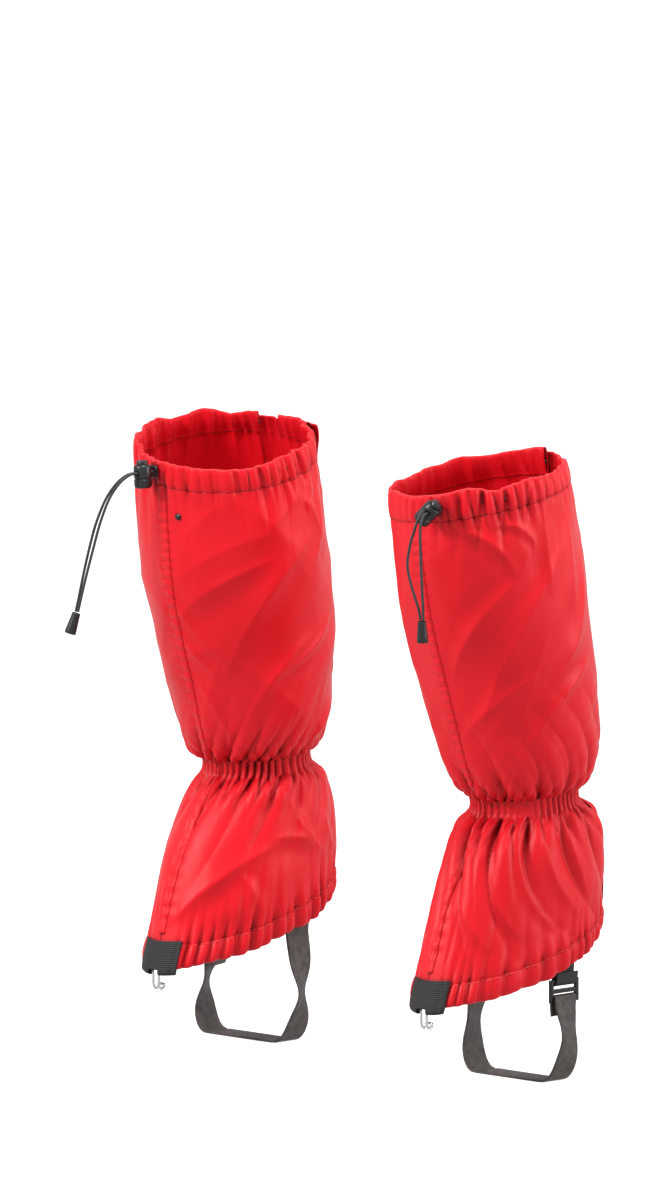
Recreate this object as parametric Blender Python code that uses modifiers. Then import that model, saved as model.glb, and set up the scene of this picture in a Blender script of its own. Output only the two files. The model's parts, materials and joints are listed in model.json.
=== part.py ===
"""A pair of hiking gaiters, standing as they are worn.

Metres, +Z up, toes towards -Y, the wearer's left gaiter at +X. The origin lies between the two
boots, on the ground plane under the instep straps. The two gaiters mirror each other in X = 0.
Each one is a gathered cloth tube in two panels, with a drawcord in its top hem, an elastic
at the ankle and at the lower hem, a hook-and-loop flap down the back of the calf, a lace hook
at the toe and a strap under the boot.
"""

import math

import bmesh
import bpy
import numpy as np
from mathutils import Matrix, Vector

MM = 0.001

# Driving dimensions
LEG_SPACING = 0.296  # between the two leg axes
RIM_LEVEL = 0.4785  # the top edge, at the leg's axis
HEM_LEVEL = 0.092  # the lower edge, at the side of the foot
ANKLE_LEVEL = 0.2195
KNEE_INWARD = 0.008  # the leg leans this far inward between ankle and rim
CLOTH = 1.2 * MM
WEBBING = 1.5 * MM
CORD_DIAMETER = 2.2 * MM
STRAP_WIDTH = 0.024

# One row for each height of the tube: level, axis forward or back, half width, reach to the front,
# reach to the back, slope of the ring to the back, slope to the outside, curve of the ring
STATIONS = (
    (0.0870, 0.000, 0.0495, 0.1140, 0.0635, 0.371, 0.000, 1.14),
    (0.0920, 0.000, 0.0500, 0.1130, 0.0640, 0.371, 0.000, 1.14),
    (0.1100, 0.000, 0.0520, 0.1070, 0.0660, 0.340, 0.000, 1.00),
    (0.1300, 0.000, 0.0530, 0.1000, 0.0670, 0.290, 0.000, 0.70),
    (0.1600, 0.000, 0.0530, 0.0870, 0.0670, 0.210, 0.000, 0.30),
    (0.1850, 0.000, 0.0510, 0.0710, 0.0630, 0.150, 0.000, 0.10),
    (0.2030, 0.000, 0.0470, 0.0560, 0.0550, 0.120, 0.000, 0.00),
    (0.2130, 0.000, 0.0425, 0.0450, 0.0440, 0.100, 0.000, 0.00),
    (0.2260, -0.001, 0.0425, 0.0440, 0.0430, 0.100, 0.000, 0.00),
    (0.2380, -0.003, 0.0500, 0.0500, 0.0510, 0.100, 0.005, 0.00),
    (0.2550, -0.005, 0.0580, 0.0580, 0.0600, 0.110, 0.010, 0.00),
    (0.2850, -0.010, 0.0640, 0.0640, 0.0660, 0.120, 0.020, 0.00),
    (0.3300, -0.019, 0.0690, 0.0690, 0.0700, 0.140, 0.040, 0.00),
    (0.3850, -0.030, 0.0730, 0.0730, 0.0730, 0.160, 0.070, 0.00),
    (0.4300, -0.037, 0.0725, 0.0725, 0.0725, 0.170, 0.095, 0.00),
    (0.4585, -0.042, 0.0700, 0.0700, 0.0700, 0.178, 0.110, 0.00),
    (0.4785, -0.045, 0.0680, 0.0680, 0.0680, 0.178, 0.115, 0.00),
)
PANEL_LEVELS = (
    0.110, 0.130, 0.160, 0.185, 0.203, 0.213, 0.226, 0.238, 0.255, 0.285, 0.330, 0.385, 0.430, 0.457,
)

# Angles round the leg: 0 at the toes, positive to the outside, 180 at the heel
OUTER_ANGLES = (0, 10, 20, 31, 42, 55, 70, 85, 100, 115, 130, 144, 158)
INNER_ANGLES = (0, -10, -20, -31, -42, -55, -70, -85, -100, -115, -130, -144, -158, -172, -186)
AROUND = tuple(reversed(INNER_ANGLES)) + OUTER_ANGLES[1:]
SEAM_GAP_DEG = 0.4
CLOSURE_ANGLES = (174, 184, 194)
FLAP_ANGLES = (159.5, 166, 174, 184, 194, 201)
FLAP_LEVELS = PANEL_LEVELS[8:] + (0.474,)
FLAP_STAND_OFF = 4.3 * MM
PATCH_ANGLES = (-20, -10, 0, 10, 20)

# The cord lock, in its own axes: Z along the button, Y along the cords
LOCK_RADIUS = 7.0 * MM
LOCK_LOW, LOCK_HIGH = -12.0 * MM, 6.0 * MM
BORE_RADIUS = 4.9 * MM
BORE_LOW = -10.5 * MM
BUTTON_RADIUS = 4.5 * MM
BUTTON_LOW, BUTTON_HIGH = -4.0 * MM, 10.0 * MM
BUTTON_TRAVEL = 3.0 * MM
CORD_SLOT_WIDTH, CORD_SLOT_HEIGHT = 6.2 * MM, 3.2 * MM
CORD_PITCH = 3.0 * MM
CORD_PITCH_AT_END = 2.7 * MM
EYELET_LEVEL = 0.4695
LOCK_OUT = 12.0 * MM
BELL_LENGTH, BELL_RADIUS = 17.0 * MM, 4.5 * MM

# What differs between the two: the lock's angle round the leg, the button's lean to the outside,
# the cords' route past the lock in millimetres (out from the wall, to the outside, up),
# how far cord a bows away from cord b, and which way the bell points (out, to the outside, up)
CORD_START = ((0.5, 0, 0), (6, 0, 0), (12, 0, 0), (18, 0, 0))
CORDS = {
    "left": {
        "angle": 18.0,
        "lean": 45.0,
        "route": ((24, 0, 0), (28, -0.5, -5), (29.5, -1, -15), (29, -1, -32), (28, -0.5, -52),
                  (27, 0, -70), (26, 0, -84)),
        "bow": 9.0 * MM,
        "bell": (-0.08, 0.0, -1.0),
    },
    "right": {
        "angle": 5.0,
        "lean": 4.0,
        "route": ((24, 0, 0), (31, 4, -5), (37, 11, -18), (41, 18, -38), (43.5, 24, -60),
                  (46.5, 30, -85), (50.5, 34, -110)),
        "bow": 2.0 * MM,
        "bell": (0.26, 0.18, -1.0),
    },
}

# The instep strap's run from its outer end to its inner end: outward and up, from the leg's axis
STRAP_PIVOT = Vector((0.0, 0.003, 0.100))
STRAP_SOLE_SHIFT = -0.011  # the strap's middle lies this far forward of its ends
TAB_RUN = ((40.5, 108), (40.5, 83), (40.8, 77.6), (42.9, 76.0), (45.0, 77.6), (45.3, 86))
STRAP_RUN = (
    (40.5, 52), (40.5, 64.8), (40.9, 67.2), (42.9, 68.2), (45.0, 67.2), (45.4, 64.8), (46.5, 58),
    (50.5, 46), (53.2, 32), (51.5, 18), (47.5, 8), (42.5, 2.6), (37, 0.75), (34, 0.75), (-34, 0.75),
    (-37, 0.75), (-42.5, 2.6), (-47.5, 8), (-51.5, 18), (-53.2, 32), (-52.0, 48), (-48.0, 66),
    (-43.5, 82), (-42.5, 88), (-42.5, 110),
)
BUCKLE_CENTRE = (0.0429, 0.0715)
BUCKLE_SIZE = (3.2 * MM, 30 * MM, 18 * MM)
BUCKLE_SLOT = (25 * MM, 5.4 * MM)
BUCKLE_SLOT_FROM_CENTRE = 4.3 * MM

# The lace hook, from its swing axis: across and down, and back where the wire curls
HOOK_BAR_HALF, HOOK_LEG_HALF = 8.0, 3.0
HOOK_CURL = ((0, -3), (0, -7), (0.2, -10.5), (1.2, -13.0), (3.2, -14.2), (5.2, -13.2), (5.9, -10.8))
HOOK_WIRE_RADIUS = 0.9 * MM


def spread(level):
    """The tube's measures at this level, on a smooth curve through the stations."""
    table = np.array(STATIONS)
    heights = table[:, 0]
    i = int(np.clip(np.searchsorted(heights, level) - 1, 0, len(heights) - 2))
    step = heights[i + 1] - heights[i]
    t = (level - heights[i]) / step
    slopes = np.gradient(table[:, 1:], heights, axis=0)
    low, high = table[i, 1:], table[i + 1, 1:]
    return (
        (2 * t**3 - 3 * t**2 + 1) * low
        + (t**3 - 2 * t**2 + t) * step * slopes[i]
        + (3 * t**2 - 2 * t**3) * high
        + (t**3 - t**2) * step * slopes[i + 1]
    )


def outward(side, angle, level):
    """The horizontal direction out of the tube's wall."""
    _, wide, front, back, *_ = spread(level)
    turn = math.radians(angle)
    reach = front if math.cos(turn) > 0 else back
    return Vector((side * math.sin(turn) / wide, -math.cos(turn) / reach, 0)).normalized()


def at(side, angle, level, stand_off=0.0):
    """A point on the tube's wall, or this far outside it."""
    axis_y, wide, front, back, slope_back, slope_out, curve = spread(level)
    turn = math.radians(angle)
    reach = front if math.cos(turn) > 0 else back
    across = wide * math.sin(turn)
    along = -reach * math.cos(turn)
    rise = slope_back * along + slope_out * across + curve * along**2
    inward = KNEE_INWARD * max(0.0, level - ANKLE_LEVEL) / (RIM_LEVEL - ANKLE_LEVEL)
    wall = Vector((side * (LEG_SPACING / 2 + across - inward), axis_y + along, level + rise))
    return wall + outward(side, angle, level) * stand_off


def material(name, colour, roughness, metallic=0.0):
    made = bpy.data.materials.get(name)
    if made is None:
        made = bpy.data.materials.new(name)
        made.use_nodes = True
        shader = made.node_tree.nodes["Principled BSDF"]
        shader.inputs["Base Color"].default_value = (*colour, 1.0)
        shader.inputs["Roughness"].default_value = roughness
        shader.inputs["Metallic"].default_value = metallic
    return made


def red_cloth():
    return material("red_cloth", (0.60, 0.018, 0.025), 0.55)


def black_webbing():
    return material("black_webbing", (0.025, 0.024, 0.026), 0.75)


def black_plastic():
    return material("black_plastic", (0.02, 0.02, 0.022), 0.4)


def grey_strap():
    return material("grey_strap", (0.07, 0.06, 0.055), 0.7)


def elastic():
    return material("elastic", (0.03, 0.03, 0.032), 0.8)


def steel():
    return material("steel", (0.62, 0.62, 0.64), 0.25, 1.0)


def add(name, mesh, look, collection):
    obj = bpy.data.objects.new(name, mesh)
    collection.objects.link(obj)
    mesh.materials.append(look)
    return obj


def thicken(obj, thickness):
    solid = obj.modifiers.new("Cloth thickness", "SOLIDIFY")
    solid.thickness = thickness
    solid.offset = 0.0
    return obj


def sheet(name, rows, look, thickness, collection):
    """A cloth piece: an open surface through rows of points, given its thickness."""
    form = bmesh.new()
    grid = [[form.verts.new(point) for point in row] for row in rows]
    for low, high in zip(grid, grid[1:]):
        for a, b, c, d in zip(low, low[1:], high[1:], high):
            form.faces.new((a, b, c, d))
    mesh = bpy.data.meshes.new(name)
    form.to_mesh(mesh)
    form.free()
    return thicken(add(name, mesh, look, collection), thickness)


def wall_sheet(name, side, angles, profile, look, thickness, collection):
    """A cloth piece that follows the tube. The profile is a run of (level, stand-off)."""
    rows = [[at(side, angle, level, off) for angle in angles] for level, off in profile]
    return sheet(name, rows, look, thickness, collection)


def wire(name, points, radius, look, collection, resolution=2):
    curve = bpy.data.curves.new(name, "CURVE")
    curve.dimensions = "3D"
    curve.bevel_depth = radius
    curve.bevel_resolution = resolution
    curve.use_fill_caps = True
    spline = curve.splines.new("POLY")
    spline.points.add(len(points) - 1)
    for slot, point in zip(spline.points, points):
        slot.co = (*point, 1.0)
    return add(name, curve, look, collection)


def cylinder(name, radius, low, high, segments, look, collection):
    form = bmesh.new()
    middle = Matrix.Translation((0, 0, (low + high) / 2))
    bmesh.ops.create_cone(
        form, cap_ends=True, segments=segments, radius1=radius, radius2=radius,
        depth=high - low, matrix=middle,
    )
    mesh = bpy.data.meshes.new(name)
    form.to_mesh(mesh)
    form.free()
    return add(name, mesh, look, collection)


def block(name, centre, size, look, collection):
    form = bmesh.new()
    bmesh.ops.create_cube(form, size=1.0, matrix=Matrix.Translation(centre) @ Matrix.Diagonal((*size, 1)))
    mesh = bpy.data.meshes.new(name)
    form.to_mesh(mesh)
    form.free()
    return add(name, mesh, look, collection)


def cut(obj, cutter):
    cutter.hide_render = True
    cutter.display_type = "WIRE"
    boolean = obj.modifiers.new("Cut " + cutter.name, "BOOLEAN")
    boolean.operation = "DIFFERENCE"
    boolean.object = cutter


def smooth_route(waypoints, spacing):
    """Points about this far apart on a smooth curve through the waypoints."""
    ends = [waypoints[0] * 2 - waypoints[1], *waypoints, waypoints[-1] * 2 - waypoints[-2]]
    points = []
    for a, b, c, d in zip(ends, ends[1:], ends[2:], ends[3:]):
        steps = max(1, round((c - b).length / spacing))
        for t in (i / steps for i in range(steps)):
            points.append(
                0.5 * (2 * b + (c - a) * t + (2 * a - 5 * b + 4 * c - d) * t**2
                       + (3 * b - a - 3 * c + d) * t**3)
            )
    return [*points, waypoints[-1]]


def panels(side, prefix, parts):
    edges = {
        "outer_panel": (SEAM_GAP_DEG, *OUTER_ANGLES[1:]),
        "inner_panel": (-SEAM_GAP_DEG, *INNER_ANGLES[1:]),
    }
    for name, angles in edges.items():
        profile = [(level, 0.0) for level in PANEL_LEVELS]
        wall_sheet(prefix + name, side, angles, profile, red_cloth(), CLOTH, parts)


def seams_and_hems(side, prefix, parts):
    tape = [(level, 1.7 * MM) for level in PANEL_LEVELS[1:]]
    wall_sheet(prefix + "front_seam", side, (-3, 0, 3), tape, red_cloth(), 0.8 * MM, parts)
    tunnel = (
        (0.4590, 2.2 * MM), (0.4760, 2.2 * MM), (RIM_LEVEL, 1.1 * MM),
        (RIM_LEVEL, -1.1 * MM), (0.4760, -2.2 * MM), (0.4590, -2.2 * MM),
    )
    wall_sheet(prefix + "top_hem", side, AROUND, tunnel, red_cloth(), 0.9 * MM, parts)
    lower = ((HEM_LEVEL, 0.0), (0.100, 0.0), (0.1085, 0.0))
    wall_sheet(prefix + "lower_hem", side, AROUND, lower, red_cloth(), 1.6 * MM, parts)


def elastics(side, prefix, parts):
    ankle = ((0.2130, -1.7 * MM), (0.2260, -1.7 * MM))
    wall_sheet(prefix + "ankle_elastic", side, AROUND, ankle, elastic(), 1.0 * MM, parts)
    hem = ((0.0945, -1.7 * MM), (0.1045, -1.7 * MM))
    wall_sheet(prefix + "hem_elastic", side, AROUND, hem, elastic(), 1.0 * MM, parts)
    ring = [at(side, angle, 0.4680) for angle in AROUND[0:]]
    wire(prefix + "hem_cord", ring, CORD_DIAMETER / 2, elastic(), parts, resolution=1)


def rear_closure(side, prefix, parts):
    """Hook-and-loop down the back of the calf, under a flap that is sewn to the outer panel."""
    strip_levels = PANEL_LEVELS[8:-1] + (0.455,)
    for name, off in (("loop_strip", 1.7 * MM), ("hook_strip", 2.9 * MM)):
        profile = [(level, off) for level in strip_levels]
        wall_sheet(prefix + name, side, CLOSURE_ANGLES, profile, black_webbing(), 0.8 * MM, parts)
    flap = [(level, FLAP_STAND_OFF) for level in FLAP_LEVELS]
    wall_sheet(prefix + "calf_flap", side, FLAP_ANGLES, flap, red_cloth(), 1.0 * MM, parts)
    heel = [(level, 1.9 * MM) for level in (0.0920, *PANEL_LEVELS[:8], 0.2500)]
    wall_sheet(prefix + "heel_flap", side, (156, 158, 166, 174, 188), heel, red_cloth(), 1.0 * MM, parts)


def hook_axis(side):
    """A point on the lace hook's swing axis, which runs along X in the fold of its patch."""
    return at(side, 0, HEM_LEVEL) + Vector((0, 1.4 * MM, -2.0 * MM))


def toe_hook(side, prefix, parts, cutters):
    fold = (
        (0.1180, 1.9 * MM), (0.0915, 1.9 * MM), (0.0886, 1.3 * MM), (0.0876, -0.6 * MM),
        (0.0886, -2.6 * MM), (0.0915, -3.3 * MM), (0.1040, -3.3 * MM),
    )
    patch = wall_sheet(
        prefix + "hook_patch", side, PATCH_ANGLES, fold, black_webbing(), 1.0 * MM, parts
    )
    axis = hook_axis(side)
    window = block(
        prefix + "hook_window", axis + Vector((0, 0, -9 * MM)),
        (10 * MM, 40 * MM, 20.4 * MM), black_webbing(), cutters,
    )
    cut(patch, window)
    left_leg = [(-HOOK_LEG_HALF, back, up) for back, up in HOOK_CURL]
    right_leg = [(HOOK_LEG_HALF, back, up) for back, up in reversed(HOOK_CURL)]
    bar = ((-HOOK_BAR_HALF, 0, 0), (-HOOK_LEG_HALF - 1, 0, 0), (-HOOK_LEG_HALF, 0, -0.8))
    other_bar = tuple((-across, back, up) for across, back, up in reversed(bar))
    run = [*bar, *left_leg, *right_leg, *other_bar]
    points = [axis + Vector(point) * MM for point in run]
    wire(prefix + "lace_hook", points, HOOK_WIRE_RADIUS, steel(), parts, resolution=1)


def strap_centre(height):
    """How far forward or back the strap's middle lies at this height."""
    return STRAP_PIVOT.y + STRAP_SOLE_SHIFT * (1 - min(height / STRAP_PIVOT.z, 1.0))


def webbing(name, side, run, half_width, look, parts):
    rows = []
    for across, up in run:
        x = side * (LEG_SPACING / 2 + across * MM)
        middle = strap_centre(up * MM)
        rows.append([(x, middle - half_width, up * MM), (x, middle + half_width, up * MM)])
    return sheet(name, rows, look, WEBBING if look.name == "grey_strap" else 1.0 * MM, parts)


def instep_strap(side, prefix, parts, cutters):
    webbing(prefix + "strap_tab", side, TAB_RUN, STRAP_WIDTH / 2 - 0.5 * MM, black_webbing(), parts)
    webbing(prefix + "instep_strap", side, STRAP_RUN, STRAP_WIDTH / 2, grey_strap(), parts)
    out, up = BUCKLE_CENTRE
    middle = Vector((side * (LEG_SPACING / 2 + out), strap_centre(up), up))
    buckle = block(prefix + "strap_buckle", middle, BUCKLE_SIZE, black_plastic(), parts)
    for name, shift in (("upper", BUCKLE_SLOT_FROM_CENTRE), ("lower", -BUCKLE_SLOT_FROM_CENTRE)):
        slot = block(
            prefix + "buckle_slot_" + name, middle + Vector((0, 0, shift)),
            (10 * MM, *BUCKLE_SLOT), black_plastic(), cutters,
        )
        cut(buckle, slot)
    anchors = {"outer_strap_anchor": (0.0413, 0.0462), "inner_strap_anchor": (-0.0462, -0.0436)}
    for name, (low, high) in anchors.items():
        centre = (side * (LEG_SPACING / 2 + (low + high) / 2), STRAP_PIVOT.y, STRAP_PIVOT.z)
        block(prefix + name, centre, (high - low, 16 * MM, 8 * MM), black_webbing(), parts)


def lock_frame(side, prefix):
    """The eyelet's centre, and the lock's axes as a matrix: X across the cords, Y along them."""
    facts = CORDS[prefix[:-1]]
    eyelet = at(side, facts["angle"], EYELET_LEVEL, 2.7 * MM)
    out = outward(side, facts["angle"], EYELET_LEVEL)
    aside = Vector((-out.y * side, out.x * side, 0))
    lean = math.radians(facts["lean"])
    button = Vector((0, 0, 1)) * math.cos(lean) + aside * math.sin(lean)
    across = out.cross(button)
    axes = Matrix((across, out, button)).transposed().to_4x4()
    axes.translation = eyelet + out * LOCK_OUT
    return eyelet, out, aside, axes


def cord_routes(side, prefix):
    """The two cords' centre lines, from the eyelet to the bell, and the bell's place and direction."""
    facts = CORDS[prefix[:-1]]
    eyelet, out, aside, axes = lock_frame(side, prefix)
    up = Vector((0, 0, 1))
    waypoints = [
        eyelet + (out * a + aside * b + up * c) * MM for a, b, c in CORD_START + facts["route"]
    ]
    centre = smooth_route(waypoints, 5.5 * MM)
    at_lock = axes.to_3x3() @ Vector((1, 0, 0))
    at_end = aside if at_lock.dot(aside) > 0 else -aside
    straight = sum((p - eyelet).dot(out) < 24.5 * MM and p.z > eyelet.z - 1 * MM for p in centre)
    routes = {"cord_a": [], "cord_b": []}
    for i, point in enumerate(centre):
        share = max(0.0, (i - straight + 1) / (len(centre) - straight))
        turn = min(1.0, share * 2.5)
        across = (at_lock * (1 - turn) + at_end * turn).normalized()
        half = (CORD_PITCH * (1 - share) + CORD_PITCH_AT_END * share) / 2
        bow = facts["bow"] * math.sin(math.pi * share) ** 2
        routes["cord_a"].append(point + across * half + at_end * bow)
        routes["cord_b"].append(point - across * half)
    a, b, c = facts["bell"]
    return routes, centre[-1], (out * a + aside * b + up * c).normalized()


def drawcord(side, prefix, parts, cutters):
    eyelet, out, _, axes = lock_frame(side, prefix)
    routes, end, direction = cord_routes(side, prefix)
    for name, points in routes.items():
        wire(prefix + name, points, CORD_DIAMETER / 2, elastic(), parts)
    bell = bmesh.new()
    bmesh.ops.create_cone(
        bell, cap_ends=True, segments=12, radius1=BELL_RADIUS, radius2=BELL_RADIUS * 0.72,
        depth=BELL_LENGTH,
    )
    mesh = bpy.data.meshes.new(prefix + "cord_end")
    bell.to_mesh(mesh)
    bell.free()
    bell_object = add(prefix + "cord_end", mesh, black_plastic(), parts)
    turn = (-direction).to_track_quat("Z", "Y").to_matrix().to_4x4()
    gap = 1.0 * MM
    bell_object.matrix_world = Matrix.Translation(end + direction * (BELL_LENGTH / 2 + gap)) @ turn
    bpy.ops.mesh.primitive_torus_add(
        major_radius=4.2 * MM, minor_radius=0.9 * MM, major_segments=14, minor_segments=6
    )
    ring = bpy.context.object
    ring.name = ring.data.name = prefix + "eyelet"
    ring.data.materials.append(black_plastic())
    for home in list(ring.users_collection):
        home.objects.unlink(ring)
    parts.objects.link(ring)
    ring.matrix_world = Matrix.Translation(eyelet + out * 1.4 * MM) @ out.to_track_quat("Z", "Y").to_matrix().to_4x4()
    lock_pieces(prefix, axes, parts, cutters)


def lock_pieces(prefix, axes, parts, cutters):
    body = cylinder(prefix + "lock_body", LOCK_RADIUS, LOCK_LOW, LOCK_HIGH, 16, black_plastic(), parts)
    bore = cylinder(prefix + "lock_bore", BORE_RADIUS, BORE_LOW, LOCK_HIGH + 5 * MM, 16, black_plastic(), cutters)
    slot = block(
        prefix + "lock_slot", (0, 0, 0), (CORD_SLOT_WIDTH, 30 * MM, CORD_SLOT_HEIGHT),
        black_plastic(), cutters,
    )
    button = cylinder(
        prefix + "lock_button", BUTTON_RADIUS, BUTTON_LOW, BUTTON_HIGH, 16, black_plastic(), parts
    )
    window_high = CORD_SLOT_HEIGHT / 2 + BUTTON_TRAVEL
    window_low = -CORD_SLOT_HEIGHT / 2
    window = block(
        prefix + "button_slot", (0, 0, (window_high + window_low) / 2),
        (CORD_SLOT_WIDTH, 30 * MM, window_high - window_low), black_plastic(), cutters,
    )
    turns, steps, coil, wire_radius = 3, 8, 3.4 * MM, 0.35 * MM
    low, high = BORE_LOW + 0.8 * MM, BUTTON_LOW - 0.8 * MM
    count = turns * steps
    helix = [
        Vector((
            coil * math.cos(2 * math.pi * i / steps), coil * math.sin(2 * math.pi * i / steps),
            low + (high - low) * i / count,
        ))
        for i in range(count + 1)
    ]
    spring = wire(prefix + "lock_spring", helix, wire_radius, steel(), parts, resolution=1)
    for piece in (body, bore, slot, button, window, spring):
        piece.matrix_world = axes
    cut(body, bore)
    cut(body, slot)
    cut(button, window)


def snap_stud(side, prefix, parts):
    angle, level = -12.0, 0.437
    out = outward(side, angle, level)
    stud = cylinder(prefix + "snap_stud", 2.2 * MM, -0.7 * MM, 0.7 * MM, 12, black_plastic(), parts)
    turn = out.to_track_quat("Z", "Y").to_matrix().to_4x4()
    stud.matrix_world = Matrix.Translation(at(side, angle, level, 1.9 * MM)) @ turn


def gaiter(side, prefix, parts, cutters):
    panels(side, prefix, parts)
    seams_and_hems(side, prefix, parts)
    elastics(side, prefix, parts)
    rear_closure(side, prefix, parts)
    toe_hook(side, prefix, parts, cutters)
    instep_strap(side, prefix, parts, cutters)
    drawcord(side, prefix, parts, cutters)


def main():
    for obj in list(bpy.data.objects):
        bpy.data.objects.remove(obj)
    parts = bpy.data.collections.new("gaiters")
    cutters = bpy.data.collections.new("cutters")
    for collection in (parts, cutters):
        bpy.context.scene.collection.children.link(collection)
    gaiter(1, "left_", parts, cutters)
    gaiter(-1, "right_", parts, cutters)
    snap_stud(-1, "right_", parts)


main()
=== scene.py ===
"""The looks of the pair of gaiters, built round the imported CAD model.

Metres, +Z up, toes towards -Y, the left gaiter at +X. Every cloth piece lies on the same wall as the
CAD: a tube given by an angle round the leg (0 at the toes, positive to the outside, 180 at the heel)
and a level. relief() adds the gathers, puckers and folds, so that all the pieces fit each other.
"""

import json
import math

import bpy
import bmesh
import numpy as np
from mathutils import Matrix, Vector

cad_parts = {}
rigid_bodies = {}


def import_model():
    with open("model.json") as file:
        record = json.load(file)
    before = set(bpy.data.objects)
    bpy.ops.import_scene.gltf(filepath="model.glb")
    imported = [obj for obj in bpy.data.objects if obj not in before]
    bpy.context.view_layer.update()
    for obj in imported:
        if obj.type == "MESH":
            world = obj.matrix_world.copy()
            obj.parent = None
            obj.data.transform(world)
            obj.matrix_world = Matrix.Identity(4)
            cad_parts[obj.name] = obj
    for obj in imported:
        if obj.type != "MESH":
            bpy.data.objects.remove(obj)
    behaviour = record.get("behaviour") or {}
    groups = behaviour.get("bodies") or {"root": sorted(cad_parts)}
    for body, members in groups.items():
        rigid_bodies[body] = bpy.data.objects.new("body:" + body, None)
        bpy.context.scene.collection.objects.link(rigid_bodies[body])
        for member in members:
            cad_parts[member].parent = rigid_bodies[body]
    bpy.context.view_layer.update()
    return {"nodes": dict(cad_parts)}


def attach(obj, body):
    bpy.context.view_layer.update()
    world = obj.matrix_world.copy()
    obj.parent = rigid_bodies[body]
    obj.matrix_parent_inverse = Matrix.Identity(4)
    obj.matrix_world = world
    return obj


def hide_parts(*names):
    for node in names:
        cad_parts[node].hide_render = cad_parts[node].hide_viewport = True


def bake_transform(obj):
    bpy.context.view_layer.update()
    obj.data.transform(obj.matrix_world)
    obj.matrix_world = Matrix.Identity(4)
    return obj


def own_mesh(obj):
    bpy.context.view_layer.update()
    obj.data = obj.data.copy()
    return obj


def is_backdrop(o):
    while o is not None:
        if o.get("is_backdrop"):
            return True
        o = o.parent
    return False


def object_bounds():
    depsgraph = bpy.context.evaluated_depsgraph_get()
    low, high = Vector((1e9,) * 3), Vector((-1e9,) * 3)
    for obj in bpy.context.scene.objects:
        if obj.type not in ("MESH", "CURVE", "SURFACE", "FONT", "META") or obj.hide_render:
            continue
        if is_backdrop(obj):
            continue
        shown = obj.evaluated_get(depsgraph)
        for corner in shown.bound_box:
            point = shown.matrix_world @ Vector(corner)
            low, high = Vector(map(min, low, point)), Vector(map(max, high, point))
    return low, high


MM = 0.001
LEFT, RIGHT = 1, -1

# ---- The tube, as in the CAD ----
LEG_SPACING = 0.296
RIM_LEVEL = 0.4785
HEM_LEVEL = 0.092
ANKLE_LEVEL = 0.2195
KNEE_INWARD = 0.008
CORD_DIAMETER = 2.2 * MM
STRAP_WIDTH = 0.024

# One row for each height of the tube: level, axis forward or back, half width, reach to the front,
# reach to the back, slope of the ring to the back, slope to the outside, curve of the ring
STATIONS = np.array((
    (0.0870, 0.000, 0.0495, 0.1140, 0.0635, 0.371, 0.000, 1.14),
    (0.0920, 0.000, 0.0500, 0.1130, 0.0640, 0.371, 0.000, 1.14),
    (0.1100, 0.000, 0.0520, 0.1070, 0.0660, 0.340, 0.000, 1.00),
    (0.1300, 0.000, 0.0530, 0.1000, 0.0670, 0.290, 0.000, 0.70),
    (0.1600, 0.000, 0.0530, 0.0870, 0.0670, 0.210, 0.000, 0.30),
    (0.1850, 0.000, 0.0510, 0.0710, 0.0630, 0.150, 0.000, 0.10),
    (0.2030, 0.000, 0.0470, 0.0560, 0.0550, 0.120, 0.000, 0.00),
    (0.2130, 0.000, 0.0425, 0.0450, 0.0440, 0.100, 0.000, 0.00),
    (0.2260, -0.001, 0.0425, 0.0440, 0.0430, 0.100, 0.000, 0.00),
    (0.2380, -0.003, 0.0500, 0.0500, 0.0510, 0.100, 0.005, 0.00),
    (0.2550, -0.005, 0.0580, 0.0580, 0.0600, 0.110, 0.010, 0.00),
    (0.2850, -0.010, 0.0640, 0.0640, 0.0660, 0.120, 0.020, 0.00),
    (0.3300, -0.019, 0.0690, 0.0690, 0.0700, 0.140, 0.040, 0.00),
    (0.3850, -0.030, 0.0730, 0.0730, 0.0730, 0.160, 0.070, 0.00),
    (0.4300, -0.037, 0.0725, 0.0725, 0.0725, 0.170, 0.095, 0.00),
    (0.4585, -0.042, 0.0700, 0.0700, 0.0700, 0.178, 0.110, 0.00),
    (0.4785, -0.045, 0.0680, 0.0680, 0.0680, 0.178, 0.115, 0.00),
))
HEIGHTS, MEASURES = STATIONS[:, 0], STATIONS[:, 1:]
SLOPES = np.gradient(MEASURES, HEIGHTS, axis=0)
OUTER_EDGE, INNER_EDGE = 158.0, -186.0
BAND_LOW, BAND_HIGH = 0.2130, 0.2260
TOP_STITCH, LOW_STITCH = 0.4590, 0.1085
EYELET_LEVEL, EYELET_STAND_OFF = 0.4695, 2.7 * MM
HEM_CORD_LEVEL = 0.4690
SEAM_HALF_ANGLE, SEAM_STITCH_ANGLE = 3.4, 2.2
STUD_ANGLE, STUD_LEVEL = -12.0, 0.437
STRAP_END_ANGLE, STRAP_END_LEVEL = -90.0, 0.100
FLAP_SEAM_ANGLE, FLAP_STITCH_ANGLE, FLAP_MIDDLE = 159.5, 164.5, 0.341
ANKLE_STITCHES = (0.2165, 0.2225)
MEAN_RADIUS, CALF_RADIUS, FOOT_RADIUS = 0.070, 0.066, 0.070

# ---- Cloth and thread ----
CLOTH, FLAP_CLOTH, TAPE = 0.6 * MM, 0.8 * MM, 0.9 * MM
STITCH_LENGTH, STITCH_GAP, THREAD_RADIUS = 2.3 * MM, 1.3 * MM, 0.30 * MM

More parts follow.
